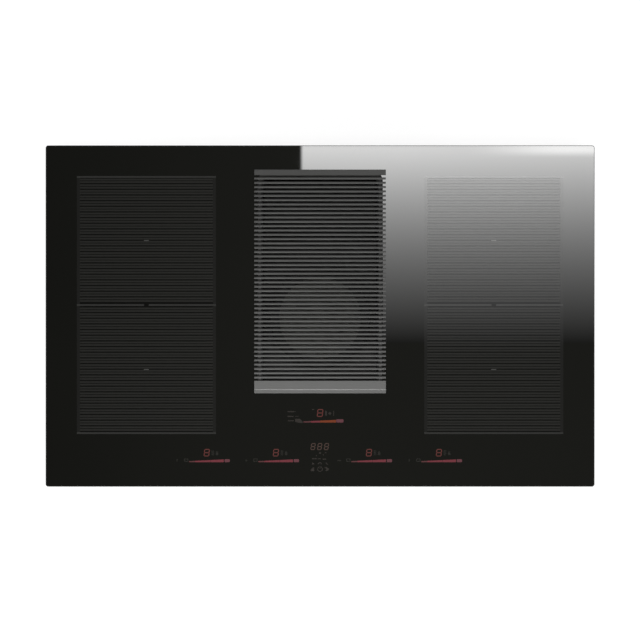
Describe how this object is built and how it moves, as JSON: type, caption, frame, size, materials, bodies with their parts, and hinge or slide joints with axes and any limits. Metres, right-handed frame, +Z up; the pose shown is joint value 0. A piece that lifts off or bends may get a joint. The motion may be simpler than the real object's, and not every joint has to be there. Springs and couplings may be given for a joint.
{
  "type": "downdraft induction cooktop",
  "caption": "Black glass induction cooktop with a slatted central intake grille over a lift-out filter, and a scroll blower below with a flat-duct outlet.",
  "frame": {"origin": "under the centre of the glass, on the plane of the blower housing's flat underside", "axes": "+X to the right along the long side, +Y to the rear, +Z up through the glass"},
  "size_m": [0.83, 0.516, 0.216],
  "materials": {
    "ceramic_glass": "polished black ceramic glass",
    "grille_metal": "satin anthracite",
    "well_plastic": "fine texture",
    "housing_plastic": "moulded",
    "galvanised_sheet": "galvanised",
    "aluminium": "mill finish",
    "filter_metal": "dark anodised",
    "filter_mesh": "mesh",
    "foam": "closed-cell foam",
    "silicone": "satin",
    "rubber": "matt",
    "litz": "varnished copper litz",
    "ferrite": "sintered",
    "mica": "mica sheet",
    "board": "solder mask",
    "component": "moulded",
    "white_plastic": "moulded",
    "display": "dark red lens",
    "light_guide": "frosted",
    "steel": "turned",
    "spring_steel": "rolled"
  },
  "bodies": {
    "chassis": {"glass_panel": "ceramic_glass", "worktop_seal": "foam", "glass_bond": "silicone", "well_gasket": "silicone", "intake_well": "well_plastic", "base_tray": "galvanised_sheet", "worktop_clamps": "spring_steel", "clamp_screws": "steel", "coil_ferrites": "ferrite", "standoffs": "white_plastic", "power_parts": "component", "terminal_block": "white_plastic", "cable_gland": "well_plastic", "control_carrier": "housing_plastic", "control_board": "board", "display_modules": "display", "light_guides": "light_guide", "scroll_lower": "housing_plastic", "scroll_upper": "housing_plastic", "housing_screws": "steel", "inlet_ring": "housing_plastic", "inlet_gasket": "foam", "blower_plate": "galvanised_sheet", "blower_brackets": "galvanised_sheet", "bracket_screws": "steel", "outlet_spigot": "housing_plastic", "motor_body": "aluminium", "motor_bearings": "steel", "motor_plate": "galvanised_sheet", "motor_grommets": "rubber", "motor_screws": "steel", "coil_mica": "mica", "coil_sensors": "white_plastic", "board_trays": "housing_plastic", "inverter_boards": "board", "heatsinks": "aluminium", "fan_frames": "housing_plastic", "side_boards": "board", "coil_plate_left": "aluminium", "coil_carrier_front_left": "white_plastic", "coil_winding_front_left": "litz", "coil_carrier_rear_left": "white_plastic", "coil_winding_rear_left": "litz", "coil_plate_right": "aluminium", "coil_carrier_front_right": "white_plastic", "coil_winding_front_right": "litz", "coil_carrier_rear_right": "white_plastic", "coil_winding_rear_right": "litz"},
    "grille": {"grille": "grille_metal", "grille_pads": "rubber"},
    "filter": {"filter_tray": "well_plastic", "filter_ring": "filter_metal", "filter_guard": "filter_mesh", "filter_pad": "filter_mesh"},
    "blower_wheel": {"impeller_disc": "housing_plastic", "impeller_blades": "housing_plastic", "impeller_shroud": "housing_plastic", "motor_shaft": "steel"},
    "fan_wheel_left": {"fan_rotor_left": "component"},
    "fan_wheel_right": {"fan_rotor_right": "component"}
  },
  "joints": [
    {"name": "grille_lift", "type": "slide", "parent": "chassis", "child": "grille", "axis": [0, 0, 1], "range_m": [0, 0.12]},
    {"name": "filter_lift", "type": "slide", "parent": "chassis", "child": "filter", "axis": [0, 0, 1], "range_m": [0, 0.06]},
    {"name": "impeller_spin", "type": "hinge", "parent": "chassis", "child": "blower_wheel", "pos_m": [0, -0.003, 0.05], "axis": [0, 0, 1], "continuous": true},
    {"name": "fan_spin_left", "type": "hinge", "parent": "chassis", "child": "fan_wheel_left", "pos_m": [-0.2626, 0.146, 0.16], "axis": [0, 0, 1], "continuous": true},
    {"name": "fan_spin_right", "type": "hinge", "parent": "chassis", "child": "fan_wheel_right", "pos_m": [0.2626, 0.146, 0.16], "axis": [0, 0, 1], "continuous": true}
  ],
  "couplings": [
    {"joint": "filter_lift", "follows": "grille_lift", "ratio": 0.5}
  ]
}
